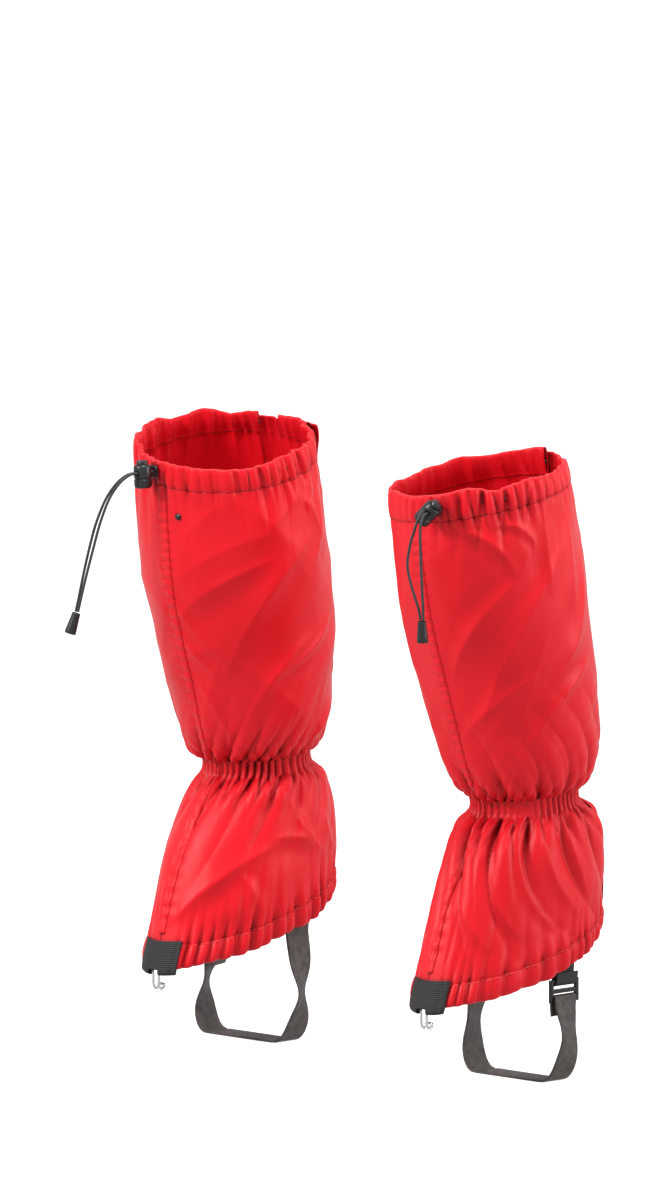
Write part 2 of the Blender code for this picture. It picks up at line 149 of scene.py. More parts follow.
# ---- Cord, lock, strap and hook, as in the CAD ----
LOCK_OUT = 12.0 * MM
CORD_PITCH, CORD_PITCH_AT_END = 3.0 * MM, 2.7 * MM
BELL_LENGTH = 17.0 * MM
STRAIGHT_RUN = 24.5 * MM
CORD_START = ((0.5, 0, 0), (6, 0, 0), (12, 0, 0), (18, 0, 0))
CORDS = {
    LEFT: {
        "length": 0.114,
        "angle": 18.0,
        "lean": 45.0,
        "route": ((24, 0, 0), (28, -0.5, -5), (29.5, -1, -15), (29, -1, -32), (28, -0.5, -52),
                  (27, 0, -70), (26, 0, -84)),
        "bow": 9.0 * MM,
        "bell": (-0.08, 0.0, -1.0),
    },
    RIGHT: {
        "length": 0.146,
        "angle": 5.0,
        "lean": 4.0,
        "route": ((24, 0, 0), (31, 4, -5), (37, 11, -18), (41, 18, -38), (43.5, 24, -60),
                  (46.5, 30, -85), (50.5, 34, -110)),
        "bow": 2.0 * MM,
        "bell": (0.26, 0.18, -1.0),
    },
}
# Slots for the cords through the lock: across them, along them and towards the button
BODY_SLOT = (6.2 * MM, 30 * MM, 3.2 * MM)
BUTTON_SLOT = (6.2 * MM, 30 * MM, 6.2 * MM)
STRAP_PIVOT = Vector((0.0, 0.003, 0.100))
STRAP_SOLE_SHIFT = -0.011
TAB_RUN = ((40.5, 108), (40.5, 83), (40.8, 77.6), (42.9, 76.0), (45.0, 77.6), (45.3, 86))
STRAP_RUN = (
    (40.5, 52), (40.5, 64.8), (40.9, 67.2), (42.9, 68.2), (45.0, 67.2), (45.4, 64.8), (46.5, 58),
    (50.5, 46), (53.2, 32), (51.5, 18), (47.5, 8), (42.5, 2.6), (37, 0.75), (34, 0.75), (-34, 0.75),
    (-37, 0.75), (-42.5, 2.6), (-47.5, 8), (-51.5, 18), (-53.2, 32), (-52.0, 48), (-48.0, 66),
    (-43.5, 82), (-42.5, 88), (-42.5, 110),
)
STRAP_TWIST = {LEFT: -20, RIGHT: -35}
TWIST_LEVEL, TWIST_SPREAD = 0.040, 0.017
HOOK_GAP, HOOK_WIRE_RADIUS = 3.0, 1.1 * MM
HOOK_WINDOW, WINDOW_TOP = 5 * MM, 1.2 * MM
HOOK_CURL = ((0, -3), (0, -7), (0.2, -10.5), (1.2, -13.0), (3.2, -14.2), (5.2, -13.2), (5.9, -10.8))

# ---- Folds and pleats ----
# Folds in the cloth: angle and level where each starts and ends, bow and width in millimetres across
# the fold, and height in millimetres
FOLDS = {
    LEFT: (
        (30, 0.452, 62, 0.405, -8, 7, 2.6), (52, 0.450, 78, 0.425, -7, 5, 2.2),
        (62, 0.405, 8, 0.330, 6, 11, 3.4), (98, 0.420, 22, 0.290, 5, 12, 3.2),
        (88, 0.455, 84, 0.385, 0, 7, 2.4), (112, 0.450, 104, 0.350, 2, 9, 2.6),
        (126, 0.400, 60, 0.300, -9, 12, 3.4), (118, 0.330, 52, 0.268, 8, 10, 3.8),
        (70, 0.330, 2, 0.275, 6, 9, 2.2), (-12, 0.410, -40, 0.330, 4, 9, 2.2),
        (20, 0.196, 62, 0.128, 3, 5, 2.2), (44, 0.200, 84, 0.122, 3, 5, 2.6),
        (66, 0.200, 96, 0.128, 3, 5, 2.4), (88, 0.198, 108, 0.135, 2, 5, 2.0),
        (4, 0.175, 44, 0.126, 2, 6, 1.8), (-30, 0.185, -10, 0.125, 3, 8, 1.8),
    ),
    RIGHT: (
        (-118, 0.452, -104, 0.385, 4, 8, 3.0), (-96, 0.448, -112, 0.400, 3, 6, 2.4),
        (-104, 0.415, -30, 0.300, -9, 14, 3.6), (-70, 0.400, 0, 0.345, -8, 13, 2.8),
        (-120, 0.340, -62, 0.300, 6, 7, 2.6), (-96, 0.330, -40, 0.262, -6, 11, 2.4),
        (8, 0.400, -24, 0.330, -6, 6, 1.8), (2, 0.350, -30, 0.300, -5, 6, 1.8),
        (-128, 0.275, -92, 0.240, 4, 8, 3.4), (-8, 0.300, -28, 0.245, 2, 7, 2.0),
        (-72, 0.165, -8, 0.124, -7, 11, 3.4), (-100, 0.150, -66, 0.168, -6, 9, 2.6),
        (-78, 0.198, -112, 0.140, -4, 7, 2.4), (-50, 0.150, -66, 0.118, 2, 5, 1.6),
        (-110, 0.185, -128, 0.135, -3, 7, 2.0),
    ),
}
# Softer folds from noise: seed, folds round the leg, lean, length along the leg and height in mm
CALF_FOLDS = ((0, 6, -11, 0.120, 1.9), (1, 12, -21, 0.055, 1.6), (14, 9, 16, 0.090, 1.5),
              (17, 26, -34, 0.030, 0.9))
FOOT_FOLDS = ((2, 8, 9, 0.070, 3.0),)
# Pleats on the ankle's band: seed, pleats round the leg, height in mm, the way over which they fade
# beside the band, and how far the band draws the cloth in, in mm
BAND_PLEATS = (3, 46, 3.4, 5 * MM, 0.8)
# Pleats beside it: seed, pleats round the leg, lean above the band and below it in turns a metre,
# height above and below in mm, the way over which they rise, and the ways over which they fade above
# it and, on each gaiter, below it
ANKLE_PLEATS = (
    (16, 34, (-1.5, 1.0), (9.0, 6.0), 2 * MM, 7 * MM, {LEFT: 7 * MM, RIGHT: 7 * MM}),
    (4, 24, (1.3, -1.1), (10.0, 10.0), 3 * MM, 15 * MM, {LEFT: 18 * MM, RIGHT: 10 * MM}),
    (5, 12, (1.3, -1.1), (13.0, 13.0), 8 * MM, 27 * MM, {LEFT: 38 * MM, RIGHT: 20 * MM}),
)
# Pleats in a hem: seed, pleats round the leg, height in mm, the share of it in the hem, and the way
# over which they fade outside it
TOP_PLEATS = ((6, 22, 3.4, 1.0, 22 * MM), (7, 46, 2.4, 0.9, 8 * MM))
LOW_PLEATS = ((8, 50, 3.6, 0.9, 10 * MM), (15, 34, 4.0, 0.9, 18 * MM))
BUNCH_ANGLE, BUNCH_WIDTH = {LEFT: 48, RIGHT: -112}, 26
SEEDS = {LEFT: 20, RIGHT: 60}


def steps(low, high, size):
    return np.linspace(low, high, max(2, round(abs(high - low) / size) + 1))


def ease(value, low, high):
    t = np.clip((value - low) / (high - low), 0.0, 1.0)
    return t * t * (3 - 2 * t)


# ---- The wall ----
def spread(level):
    """The tube's measures at these levels, on a smooth curve through the stations."""
    level = np.asarray(level, float)
    i = np.clip(np.searchsorted(HEIGHTS, level) - 1, 0, len(HEIGHTS) - 2)
    step = (HEIGHTS[i + 1] - HEIGHTS[i])[..., None]
    t = (level - HEIGHTS[i])[..., None] / step
    found = (
        (2 * t**3 - 3 * t**2 + 1) * MEASURES[i]
        + (t**3 - 2 * t**2 + t) * step * SLOPES[i]
        + (3 * t**2 - 2 * t**3) * MEASURES[i + 1]
        + (t**3 - t**2) * step * SLOPES[i + 1]
    )
    return np.moveaxis(found, -1, 0)


def wall(side, angle, level, stand_off=0.0):
    """Points on the smooth wall or this far outside it, and the way out of the wall."""
    axis_y, wide, front, back, slope_back, slope_out, curve = spread(level)
    turn = np.radians(angle)
    reach = np.where(np.cos(turn) > 0, front, back)
    across = wide * np.sin(turn)
    along = -reach * np.cos(turn)
    rise = slope_back * along + slope_out * across + curve * along**2
    inward = KNEE_INWARD * np.clip(level - ANKLE_LEVEL, 0, None) / (RIM_LEVEL - ANKLE_LEVEL)
    x = side * (LEG_SPACING / 2 + across - inward)
    out = np.stack([side * np.sin(turn) / wide, -np.cos(turn) / reach, np.zeros_like(across)], -1)
    out /= np.linalg.norm(out, axis=-1, keepdims=True)
    points = np.stack([x, axis_y + along, level + rise], -1)
    return points + out * np.asarray(stand_off)[..., None], out


def at(side, angle, level, stand_off=0.0):
    return Vector(wall(side, np.array(float(angle)), np.array(float(level)), stand_off)[0])


def outward(side, angle, level):
    return Vector(wall(side, np.array(float(angle)), np.array(float(level)))[1])


# ---- The cloth's relief ----
def spline_weights(t):
    return ((1 - t) ** 3 / 6, (3 * t**3 - 6 * t**2 + 4) / 6,
            (-3 * t**3 + 3 * t**2 + 3 * t + 1) / 6, t**3 / 6)


def noise(seed, u, v, period):
    """Smooth noise, about -1 to 1, that repeats after this many cells along u."""
    lattice = np.random.default_rng(seed).uniform(-1, 1, (period, 64))
    column, row = np.floor(u).astype(int), np.floor(v).astype(int)
    total = 0.0
    for i, across in enumerate(spline_weights(u - column)):
        for j, along in enumerate(spline_weights(v - row)):
            total = total + across * along * lattice[(column + i) % period, (row + j) % 64]
    return 2.2 * total


def crest(value):
    """Sharp crests and round hollows, as tension folds have."""
    return 0.60 - (value**2 + 0.0006) ** 0.33


def gathers(seed, turn, level, count):
    """This many irregular pleats round the leg, with round crests and tight creases.

    They reach from about -0.6 to 0.2, times a size that drifts.
    """
    period = max(3, count // 3)
    drift = noise(seed, period * turn, level / 0.05, period)
    size = noise(seed + 100, period * turn, level / 0.06, period)
    wave = np.sin(math.pi * count * turn + 1.5 * drift)
    return ((wave**2 + 0.0006) ** 0.28 - 0.76) * (1 + 0.6 * size)


def fold_height(angle, level, fold):
    """One fold: a sharp ridge on a bow from start to end, with a shallow trough beside it."""
    start_angle, start, end_angle, end, bow, width, height = fold
    radius = np.where(level > ANKLE_LEVEL, CALF_RADIUS, FOOT_RADIUS)
    middle = (start_angle + end_angle) / 2
    turned = (angle - middle + 180) % 360 - 180
    x = np.radians(turned) * radius
    half = np.radians(end_angle - start_angle) / 2 * radius
    rise = end - start
    length = np.sqrt((2 * half) ** 2 + rise**2)
    t = ((x + half) * 2 * half + (level - start) * rise) / length**2
    across = ((x + half) * rise - (level - start) * 2 * half) / length
    taper = np.sin(math.pi * np.clip(t, 0, 1)) ** 0.8
    across = across - bow * MM * 4 * t * (1 - t)
    wide = width * MM * (0.35 + 0.35 * taper)
    near = np.sqrt((across / wide) ** 2 + 0.008)
    ridge = 1.15 * np.exp(-1.2 * near) - 0.4 * np.exp(-(((across - 1.7 * wide) / (1.3 * wide)) ** 2))
    return height * MM * taper * ridge


def noise_folds(rows, side, seed, turn, level):
    return sum(
        height * crest(noise(seed + row, count * turn + side * lean * level, level / run, count))
        for row, count, lean, run, height in rows
    )


def broad_folds(side, seed, turn, level):
    """Long slanting folds over the calf, and softer ones over the foot."""
    calf = ease(level, 0.232, 0.268) * (1 - ease(level, 0.440, 0.462))
    foot = ease(level, 0.108, 0.128) * (1 - ease(level, 0.188, 0.206))
    on_calf = noise_folds(CALF_FOLDS, side, seed, turn, level)
    on_foot = noise_folds(FOOT_FOLDS, side, seed, turn, level)
    return MM * (calf * on_calf + foot * on_foot)


def ankle_gathers(side, seed, turn, level):
    """Pleats that the ankle elastic draws up: fine on the band, longer and wider away from it."""
    gap = np.clip(level - BAND_HIGH, 0, None) + np.clip(BAND_LOW - level, 0, None)
    above = level > BAND_HIGH
    row, count, height, fade, drawn_in = BAND_PLEATS
    out = (height * gathers(seed + row, turn, level, count) - drawn_in) * np.exp(-gap / fade)
    for row, count, leans, heights, rise, fade_above, fade_below in ANKLE_PLEATS:
        pleats = gathers(seed + row, turn + np.where(above, *leans) * gap, level, count)
        fade = np.where(above, fade_above, fade_below[side])
        size = np.where(above, *heights) * (1 - np.exp(-gap / rise)) * np.exp(-gap / fade)
        out = out + pleats * size
    return MM * out


def hem_pleats(rows, seed, turn, level, away, inside):
    return sum(
        height * gathers(seed + row, turn, level, count) * np.where(inside, share, np.exp(-away / fade))
        for row, count, height, share, fade in rows
    )


def hem_gathers(side, seed, turn, level):
    """Pleats that the top cord and the lower elastic draw up. The top ones bunch up near one place."""
    signed = (turn * 360 + 180) % 360 - 180
    bunched = 1 + 1.3 * np.exp(-(((signed - BUNCH_ANGLE[side]) / BUNCH_WIDTH) ** 2))
    to_top, to_low = np.abs(level - TOP_STITCH), np.abs(level - LOW_STITCH)
    top = hem_pleats(TOP_PLEATS, seed, turn, level, to_top, level > TOP_STITCH)
    low = hem_pleats(LOW_PLEATS, seed, turn, level, to_low, level < LOW_STITCH)
    grooves = 0.3 * np.exp(-((to_top / 0.0016) ** 2)) + 0.3 * np.exp(-((to_low / 0.0014) ** 2))
    return MM * (top * bunched + low - grooves)


def folded(side, seed, turn, level):
    """The folds, flatter beside the closure and the front seam, and the ripple along that seam."""
    signed = (turn * 360 + 180) % 360 - 180
    closure = np.exp(-(((np.abs(signed) - 180) / 26) ** 4))
    out = broad_folds(side, seed, turn, level) * (1 - 0.45 * closure)
    folds = 0.9 * sum(fold_height(signed, level, fold) for fold in FOLDS[side])
    edges = ease(level, 0.104, 0.118) * (1 - ease(level, 0.452, 0.464))
    band = ease(np.abs(level - ANKLE_LEVEL), 0.006, 0.014)
    out = out + folds * edges * band
    near_seam = np.exp(-((signed / 6.5) ** 2)) * ease(level, 0.112, 0.130)
    ripple = np.cos(2 * math.pi * level / 0.0088 + 3 * noise(seed + 9, 2 * turn, level / 0.03, 2))
    ripple = 0.50 * MM * ripple * near_seam * (1 - ease(level, 0.44, 0.458))
    return out * (1 - 0.65 * near_seam) + ripple


def overhang(level):
    """How far the calf's cloth hangs over the ankle's band: 0 at the band, 1 at most, just above it."""
    over = np.clip(level - BAND_HIGH, 0, None) / 0.011
    return over * np.exp(1 - over)


def ruffles(seed, turn, level):
    """How far the cloth slips up or down: it droops over the band, and both its edges waver."""
    droop = 0.5 + 0.5 * noise(seed + 10, 9 * turn, level / 0.2, 9)
    slip = -5.5 * overhang(level) * droop
    slip = slip + 3.2 * noise(seed + 11, 26 * turn, level / 0.2, 26) * ease(level, 0.460, 0.478)
    slip = slip + 2.2 * noise(seed + 12, 6 * turn, level / 0.2, 6) * ease(level, 0.440, 0.478)
    wave = 0.7 + noise(seed + 13, 40 * turn, level / 0.2, 40)
    return MM * (slip + 1.2 * wave * (1 - ease(level, 0.092, 0.100)))


def relief(side, angle, level):
    """How far the cloth stands outside the smooth wall, and how far it slips up or down."""
    angle, level = np.broadcast_arrays(np.asarray(angle, float), np.asarray(level, float))
    turn, seed = (angle % 360) / 360.0, SEEDS[side]
    out = folded(side, seed, turn, level) + 1.6 * MM * overhang(level)
    out = out + ankle_gathers(side, seed, turn, level) + hem_gathers(side, seed, turn, level)
    calm = calmness(side, (angle + 180) % 360 - 180, level)
    return out * calm, ruffles(seed, turn, level) * calm


def calmness(side, signed, level):
    """0 where a part has to sit on flat cloth: the toe, the eyelet, the stud and a strap's end."""
    quiet = {
        LEFT: (STRAP_END_ANGLE, STRAP_END_LEVEL, 22 * MM),
        RIGHT: (STUD_ANGLE, STUD_LEVEL, 6 * MM),
    }
    calm = 1 - 0.97 * np.exp(-((signed / 22) ** 6)) * (1 - ease(level, 0.118, 0.130))
    for centre, height, radius in ((CORDS[side]["angle"], EYELET_LEVEL, 7 * MM), quiet[side]):
        squared = (np.radians(signed - centre) * MEAN_RADIUS) ** 2 + (level - height) ** 2
        calm = calm * (1 - np.exp(-squared / radius**2))
    return calm


def cloth_points(side, angle, level, stand_off=0.0):
    out, slip = relief(side, angle, level)
    points, normal = wall(side, np.asarray(angle, float), np.asarray(level, float), stand_off + out)
    points[..., 2] += slip
    return points, normal


# ---- Meshes ----
def mesh_object(name, points, faces, look, uv=None):
    mesh = bpy.data.meshes.new(name)
    mesh.from_pydata(np.asarray(points).reshape(-1, 3).tolist(), [], np.asarray(faces).tolist())
    mesh.polygons.foreach_set("use_smooth", np.ones(len(mesh.polygons), bool))
    if uv is not None:
        loops = np.empty(len(mesh.loops), np.int32)
        mesh.loops.foreach_get("vertex_index", loops)
        layer = mesh.uv_layers.new(name="metres")
        layer.data.foreach_set("uv", np.asarray(uv, np.float32).reshape(-1, 2)[loops].ravel())
    mesh.materials.append(look)
    obj = bpy.data.objects.new(name, mesh)
    bpy.context.scene.collection.objects.link(obj)
    return obj


def grid_faces(rows, columns, skip=None):
    first = (np.arange(rows - 1)[:, None] * columns + np.arange(columns - 1)[None, :]).ravel()
    faces = np.stack([first, first + 1, first + columns + 1, first + columns], 1)
    return faces if skip is None else faces[~skip.ravel()]


def grid_object(name, points, look, thickness, skip=None):
    """A sheet through a grid of points, with texture coordinates in metres."""
    rows, columns = points.shape[:2]
    down = np.linalg.norm(np.diff(points, axis=0), axis=2).mean(1)
    across = np.linalg.norm(np.diff(points, axis=1), axis=2).mean(0)
    v = np.concatenate([[0], np.cumsum(down)])
    u = np.concatenate([[0], np.cumsum(across)])
    uv = np.stack(np.broadcast_arrays(u[None, :], v[:, None]), -1)
    obj = mesh_object(name, points, grid_faces(rows, columns, skip), look, uv)
    solid = obj.modifiers.new("Thickness", "SOLIDIFY")
    solid.thickness = thickness
    solid.offset = 0.0
    return obj


def cloth(name, side, angles, levels, look, thickness, stand_off=0.0):
    angle, level = np.meshgrid(angles, levels)
    points, _ = cloth_points(side, angle, level, np.broadcast_to(stand_off, angle.shape))
    return grid_object(name, points, look, thickness)


def profile_cloth(name, side, angles, profile, look, thickness, skip=None):
    """Cloth through a run of (level, stand-off), smoothed, such as a hem's tunnel."""
    run = fine_run(profile, 1.0 * MM)
    angle, level = np.meshgrid(angles, run[:, 0])
    _, off = np.meshgrid(angles, run[:, 1])
    points, _ = cloth_points(side, angle, level, off)
    hole = None if skip is None else skip(points)
    return grid_object(name, points, look, thickness, hole)


def fine_run(waypoints, spacing):
    """Points about this far apart on a smooth curve through the waypoints."""
    way = np.asarray(waypoints, float)
    ends = np.concatenate([[way[0] * 2 - way[1]], way, [way[-1] * 2 - way[-2]]])
    points = []
    for a, b, c, d in zip(ends, ends[1:], ends[2:], ends[3:]):
        count = max(1, round(float(np.linalg.norm(c - b)) / spacing))
        for t in np.arange(count) / count:
            points.append(
                0.5 * (2 * b + (c - a) * t + (2 * a - 5 * b + 4 * c - d) * t**2
                       + (3 * b - a - 3 * c + d) * t**3)
            )
    return np.array([*points, way[-1]])


def baked(obj):
    """The object with its modifiers applied."""
    graph = bpy.context.evaluated_depsgraph_get()
    mesh = bpy.data.meshes.new_from_object(obj.evaluated_get(graph))
    obj.modifiers.clear()
    obj.data = mesh
    return obj


def wire(name, points, radius, look, resolution=4):
    curve = bpy.data.curves.new(name, "CURVE")
    curve.dimensions = "3D"
    curve.bevel_depth = radius
    curve.bevel_resolution = resolution
    curve.use_fill_caps = True
    spline = curve.splines.new("POLY")
    spline.points.add(len(points) - 1)
    spline.points.foreach_set("co", np.c_[points, np.ones(len(points))].ravel())
    curve.materials.append(look)
    obj = bpy.data.objects.new(name, curve)
    bpy.context.scene.collection.objects.link(obj)
    return obj


def lathe(name, profile, place, look, count=40, bevel=0.35 * MM):
    """A turned piece round its own Z: the profile is a closed run of (radius, height) in mm."""
    profile = np.array(profile, float) * MM
    turn = np.linspace(0, 2 * math.pi, count, endpoint=False)
    ring = np.stack([np.cos(turn), np.sin(turn)], -1)
    points, rows = [], []
    for radius, height in profile:
        single = radius < 1e-6
        rows.append((len(points), single))
        circle = [[0, 0, height]] if single else [[x * radius, y * radius, height] for x, y in ring]
        points.extend(circle)
    faces = []
    for (a, a_single), (b, b_single) in zip(rows, rows[1:]):
        for i in range(count):
            j = (i + 1) % count
            if a_single:
                faces.append((a, b + j, b + i))
            elif b_single:
                faces.append((a + i, a + j, b))
            else:
                faces.append((a + i, a + j, b + j, b + i))
    mesh = bpy.data.meshes.new(name)
    mesh.from_pydata(points, [], faces)
    form = bmesh.new()
    form.from_mesh(mesh)
    bmesh.ops.recalc_face_normals(form, faces=form.faces)
    form.to_mesh(mesh)
    form.free()
    mesh.materials.append(look)
    obj = bpy.data.objects.new(name, mesh)
    bpy.context.scene.collection.objects.link(obj)
    obj.matrix_world = place
    if bevel:
        add_bevel(obj, bevel)
    return obj


def add_bevel(obj, width, segments=3):
    bevel = obj.modifiers.new("Soft edges", "BEVEL")
    bevel.width = width
    bevel.segments = segments
    bevel.limit_method = "ANGLE"
    bevel.angle_limit = math.radians(32)
    bevel.harden_normals = True
    obj.data.polygons.foreach_set("use_smooth", np.ones(len(obj.data.polygons), bool))


def carve(obj, boxes, place):
    """Cuts boxes, each (centre, size) in the piece's own axes, out of a closed piece.

    The piece's bevel is dropped first, so it is added again afterwards.
    """
    for centre, size in boxes:
        mesh = bpy.data.meshes.new("cutter")
        form = bmesh.new()
        box = Matrix.Translation(centre) @ Matrix.Diagonal((*size, 1))
        bmesh.ops.create_cube(form, size=1.0, matrix=box)
        form.to_mesh(mesh)
        form.free()
        cutter = bpy.data.objects.new("cutter", mesh)
        bpy.context.scene.collection.objects.link(cutter)
        cutter.matrix_world = place
        cut = obj.modifiers.new("Cut", "BOOLEAN")
        cut.operation = "DIFFERENCE"
        cut.object = cutter
        bpy.context.view_layer.update()
        bevel = obj.modifiers.get("Soft edges")
        if bevel:
            obj.modifiers.remove(bevel)
        baked(obj)
        bpy.data.objects.remove(cutter)
    return obj


def stitches(name, points, normals, look):
    """A row of short thread dashes along a path, each an octahedron drawn out along it."""
    points, normals = np.asarray(points), np.asarray(normals)
    distance = np.concatenate([[0], np.cumsum(np.linalg.norm(np.diff(points, axis=0), axis=1))])
    starts = np.arange(0, distance[-1] - STITCH_LENGTH, STITCH_LENGTH + STITCH_GAP)

    def along(values, where):
        return np.stack([np.interp(where, distance, values[:, k]) for k in range(3)], -1)

    a, b = along(points, starts), along(points, starts + STITCH_LENGTH)
    up = along(normals, starts + STITCH_LENGTH / 2)
    ahead = (b - a) / np.linalg.norm(b - a, axis=1, keepdims=True)
    aside = np.cross(ahead, up)
    aside /= np.linalg.norm(aside, axis=1, keepdims=True)
    up, aside, middle = up * THREAD_RADIUS, aside * THREAD_RADIUS, (a + b) / 2
    corners = np.stack([
        a - up * 0.6, b - up * 0.6,
        middle + aside * 1.5, middle - aside * 1.5,
        middle + up * 1.3, middle - up,
    ], 1)
    shape = np.array([(0, 2, 4), (2, 1, 4), (1, 3, 4), (3, 0, 4),
                      (2, 0, 5), (1, 2, 5), (3, 1, 5), (0, 3, 5)])
    faces = (shape[None] + 6 * np.arange(len(starts))[:, None, None]).reshape(-1, 3)
    return mesh_object(name, corners.reshape(-1, 3), faces, look)


# ---- Materials ----
class Look:
    """A Principled material with helpers for procedural texture."""

    def __init__(self, name, colour, roughness, metallic=0.0):
        self.name = name
        self.material = bpy.data.materials.new(name + "_look")
        self.material.use_nodes = True
        self.nodes = self.material.node_tree.nodes
        self.shader = self.nodes["Principled BSDF"]
        self.set("Base Color", (*colour, 1.0))
        self.set("Roughness", roughness)
        self.set("Metallic", metallic)
        self.place = self.nodes.new("ShaderNodeTexCoord")
        self.height = None

    def set(self, socket, value):
        self.shader.inputs[socket].default_value = value

    def link(self, a, b):
        self.material.node_tree.links.new(a, b)

    def texture(self, kind, scale, coordinates="Object", **settings):
        node = self.nodes.new(kind)
        node.inputs["Scale"].default_value = scale
        for key, value in settings.items():
            if key in node.inputs:
                node.inputs[key].default_value = value
            else:
                setattr(node, key, value)
        self.link(self.place.outputs[coordinates], node.inputs["Vector"])
        return node

    def waves(self, spacing, direction):
        """Bands this many metres apart. At a scale of 1 they would be 0.314 apart."""
        return self.texture(
            "ShaderNodeTexWave", 0.314 / spacing, "UV", bands_direction=direction,
            wave_profile="SIN",
        )

    def bump(self, texture, distance, strength):
        """Relief by this texture, on top of any that was added before."""
        node = self.nodes.new("ShaderNodeBump")
        node.inputs["Strength"].default_value = strength
        node.inputs["Distance"].default_value = distance
        output = "Fac" if "Fac" in texture.outputs else texture.outputs[0].name
        self.link(texture.outputs[output], node.inputs["Height"])
        if self.height:
            self.link(self.height.outputs["Normal"], node.inputs["Normal"])
        self.height = node
        self.link(node.outputs["Normal"], self.shader.inputs["Normal"])

    def mottle(self, dark, light, scale):
        """Colour that drifts between two close tones."""
        cloud = self.texture("ShaderNodeTexNoise", scale, Detail=3.0)
        ramp = self.nodes.new("ShaderNodeValToRGB")
        for element, position, tone in zip(ramp.color_ramp.elements, (0.35, 0.65), (dark, light)):
            element.position = position
            element.color = (*tone, 1)
        self.link(cloud.outputs["Fac"], ramp.inputs["Fac"])
        self.link(ramp.outputs["Color"], self.shader.inputs["Base Color"])
        return ramp.outputs["Color"]

    def paint_crease_shade(self, colour, dark, distance):
        """Painted shade: darken the base colour where the surface is hemmed in within this distance."""
        hollow = self.nodes.new("ShaderNodeAmbientOcclusion")
        hollow.inputs["Distance"].default_value = distance
        hollow.samples = 8
        reach = self.nodes.new("ShaderNodeMapRange")
        reach.inputs["From Min"].default_value = 0.35
        reach.inputs["From Max"].default_value = 0.95
        mix = self.nodes.new("ShaderNodeMix")
        mix.data_type = "RGBA"
        mix.inputs[6].default_value = (*dark, 1)
        self.link(hollow.outputs["AO"], reach.inputs["Value"])
        self.link(reach.outputs["Result"], mix.inputs[0])
        self.link(colour, mix.inputs[7])
        self.link(mix.outputs[2], self.shader.inputs["Base Color"])


def make_looks():
    red = Look("red_cloth", (0.69, 0.005, 0.012), 0.40)
    tone = red.mottle((0.70, 0.002, 0.010), (0.74, 0.004, 0.014), 14)
    # Painted shade: the cloth's colour turns a deep red inside its creases
    red.paint_crease_shade(tone, (0.20, 0.0, 0.001), 11 * MM)
    red.set("Specular IOR Level", 0.26)
    red.set("Sheen Weight", 0.05)
    red.set("Sheen Roughness", 0.45)
    creases = red.texture("ShaderNodeTexNoise", 20, Detail=3.0, noise_type="RIDGED_MULTIFRACTAL")
    red.bump(creases, 3.0 * MM, 0.5)
    red.bump(red.waves(0.62 * MM, "X"), 0.05 * MM, 0.5)
    red.bump(red.waves(0.62 * MM, "Y"), 0.05 * MM, 0.5)
    thread = Look("red_thread", (0.62, 0.008, 0.016), 0.6)
    webbing = Look("black_webbing", (0.013, 0.012, 0.013), 0.62)
    webbing.bump(webbing.waves(1.5 * MM, "Y"), 0.35 * MM, 0.9)
    webbing.bump(webbing.waves(0.8 * MM, "X"), 0.12 * MM, 0.6)
    strap = Look("strap_webbing", (0.062, 0.052, 0.047), 0.58)
    strap.mottle((0.045, 0.038, 0.034), (0.085, 0.072, 0.065), 160)
    strap.bump(strap.waves(1.3 * MM, "Y"), 0.25 * MM, 0.8)
    strap.bump(strap.waves(1.9 * MM, "X"), 0.20 * MM, 0.7)
    tape = Look("hook_and_loop", (0.016, 0.015, 0.016), 0.95)
    tape.bump(tape.texture("ShaderNodeTexVoronoi", 1100), 0.5 * MM, 1.0)
    elastic = Look("elastic", (0.030, 0.028, 0.030), 0.8)
    elastic.bump(elastic.waves(1.1 * MM, "Y"), 0.3 * MM, 0.9)
    cord = Look("shock_cord", (0.030, 0.030, 0.033), 0.62)
    cord.bump(cord.texture("ShaderNodeTexVoronoi", 1500), 0.25 * MM, 0.8)
    plastic = Look("black_plastic", (0.011, 0.011, 0.012), 0.32)
    plastic.bump(plastic.texture("ShaderNodeTexNoise", 900), 0.05 * MM, 0.4)
    steel = Look("steel_wire", (0.75, 0.75, 0.77), 0.20, 1.0)
    steel.bump(steel.texture("ShaderNodeTexNoise", 300), 0.03 * MM, 0.3)
    found = (red, thread, webbing, strap, tape, elastic, cord, plastic, steel)
    return {look.name: look.material for look in found}


def finish_piece(obj, body, *nodes):
    """The piece rides on a body, and the CAD nodes it stands for are hidden."""
    if body:
        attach(obj, body)
    if nodes:
        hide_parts(*nodes)
    return obj


